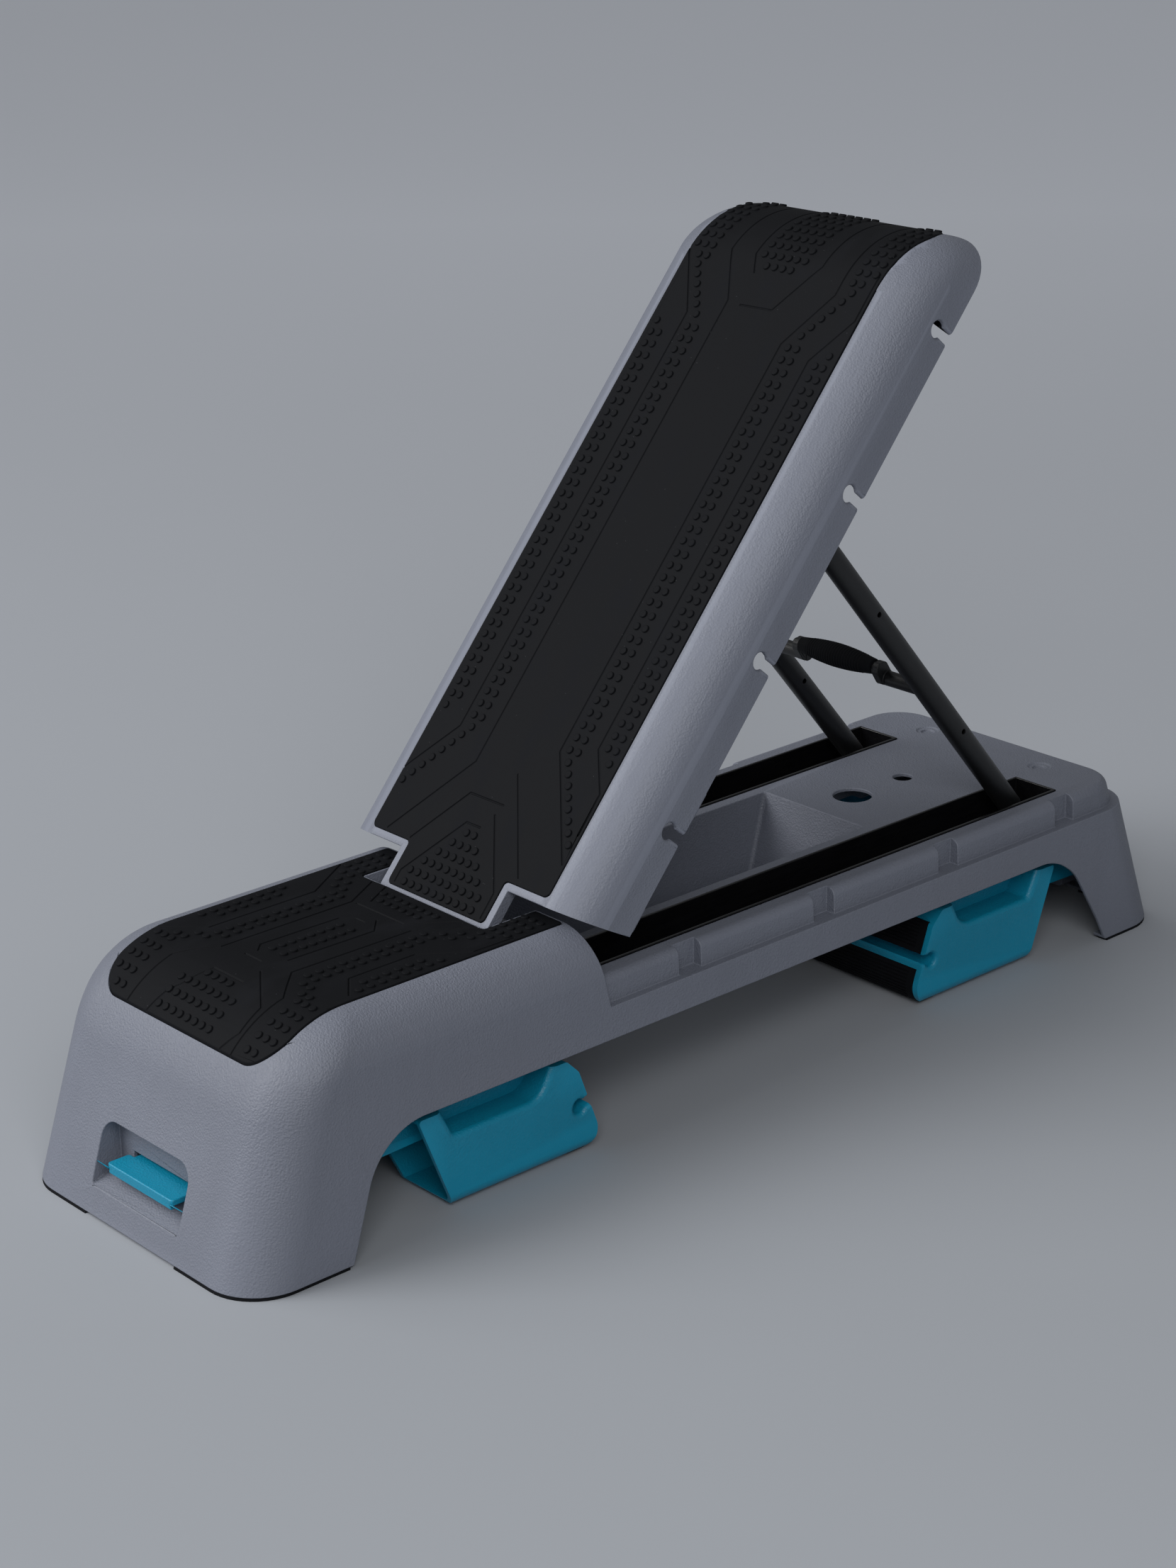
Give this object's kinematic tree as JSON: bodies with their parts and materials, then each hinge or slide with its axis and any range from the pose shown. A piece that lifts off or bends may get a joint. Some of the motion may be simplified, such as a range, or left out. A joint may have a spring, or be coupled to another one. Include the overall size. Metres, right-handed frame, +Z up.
{
  "type": "workout deck with folding slant board",
  "caption": "Low moulded exercise deck with a padded seat, a hinged padded backrest held up by a tubular prop in slots, and fold-down legs kept by sliding latches.",
  "frame": {"origin": "centre of the deck's footprint, on the floor", "axes": "+X from the seat end to the head end, +Y to the deck's left when lying on it face up, +Z up"},
  "size_m": [1.0988, 0.3186, 0.7001],
  "materials": {
    "grey_plastic": "blue-grey, fine leather grain on the sides, smoother on the rails",
    "teal_plastic": "satin teal with smooth lighter edges",
    "black_plastic": "smooth black",
    "rubber": "matt black, studded on the mats",
    "black_steel": "black powder coat",
    "zinc_steel": "bright zinc plate"
  },
  "bodies": {
    "base": {"base_shell": "grey_plastic", "seat_mat": "rubber", "track_left": "black_plastic", "track_right": "black_plastic", "hinge_pin": "zinc_steel", "hinge_bush_left": "black_plastic", "hinge_bush_right": "black_plastic", "foot_strip_front_left": "rubber", "foot_strip_front_right": "rubber", "foot_strip_rear_left": "rubber", "foot_strip_rear_right": "rubber", "front_leg_pin": "zinc_steel", "rear_leg_pin": "zinc_steel", "front_latch_spring_left": "zinc_steel", "front_latch_spring_right": "zinc_steel", "rear_latch_spring_left": "zinc_steel", "rear_latch_spring_right": "zinc_steel"},
    "backrest": {"backrest_shell": "grey_plastic", "backrest_mat": "rubber", "hinge_leaf": "black_steel", "prop_axle": "zinc_steel", "axle_bracket_left": "black_steel", "axle_bracket_right": "black_steel", "bracket_screw_front_left": "zinc_steel", "bracket_screw_rear_left": "zinc_steel", "bracket_screw_front_right": "zinc_steel", "bracket_screw_rear_right": "zinc_steel"},
    "prop": {"prop_tube_left": "black_steel", "prop_tube_right": "black_steel", "prop_foot_left": "black_plastic", "prop_foot_right": "black_plastic", "prop_spacer": "black_steel", "prop_handle_bar": "black_steel", "prop_grip": "rubber"},
    "front_leg": {"front_leg_shell": "teal_plastic", "front_leg_upper_pad": "rubber", "front_leg_lower_pad": "rubber", "front_leg_bush_left": "black_plastic", "front_leg_bush_right": "black_plastic"},
    "rear_leg": {"rear_leg_shell": "teal_plastic", "rear_leg_upper_pad": "rubber", "rear_leg_lower_pad": "rubber", "rear_leg_bush_left": "black_plastic", "rear_leg_bush_right": "black_plastic"},
    "front_latch": {"front_latch": "teal_plastic"},
    "rear_latch": {"rear_latch": "teal_plastic"}
  },
  "joints": [
    {"name": "backrest_hinge", "type": "hinge", "parent": "base", "child": "backrest", "pos_m": [-0.2145, 0, 0.178], "axis": [0, -1, 0], "range_deg": [0, 30]},
    {"name": "prop_pivot", "type": "hinge", "parent": "backrest", "child": "prop", "pos_m": [0.08731, 0, 0.4988], "axis": [0, -1, 0], "range_deg": [-60.7, 0]},
    {"name": "front_leg_hinge", "type": "hinge", "parent": "base", "child": "front_leg", "pos_m": [-0.438, 0, 0.07], "axis": [0, 1, 0], "range_deg": [0, 109.4]},
    {"name": "rear_leg_hinge", "type": "hinge", "parent": "base", "child": "rear_leg", "pos_m": [0.478, 0, 0.07], "axis": [0, -1, 0], "range_deg": [0, 109.4]},
    {"name": "front_latch_slide", "type": "slide", "parent": "base", "child": "front_latch", "axis": [-1, 0, 0], "range_m": [0, 0.008], "stiffness_N_per_m": 400, "springref_m": -0.005},
    {"name": "rear_latch_slide", "type": "slide", "parent": "base", "child": "rear_latch", "axis": [1, 0, 0], "range_m": [0, 0.008], "stiffness_N_per_m": 400, "springref_m": -0.005}
  ],
  "couplings": [
    {"joint": "prop_pivot", "follows": "backrest_hinge", "ratio": -2.02}
  ]
}
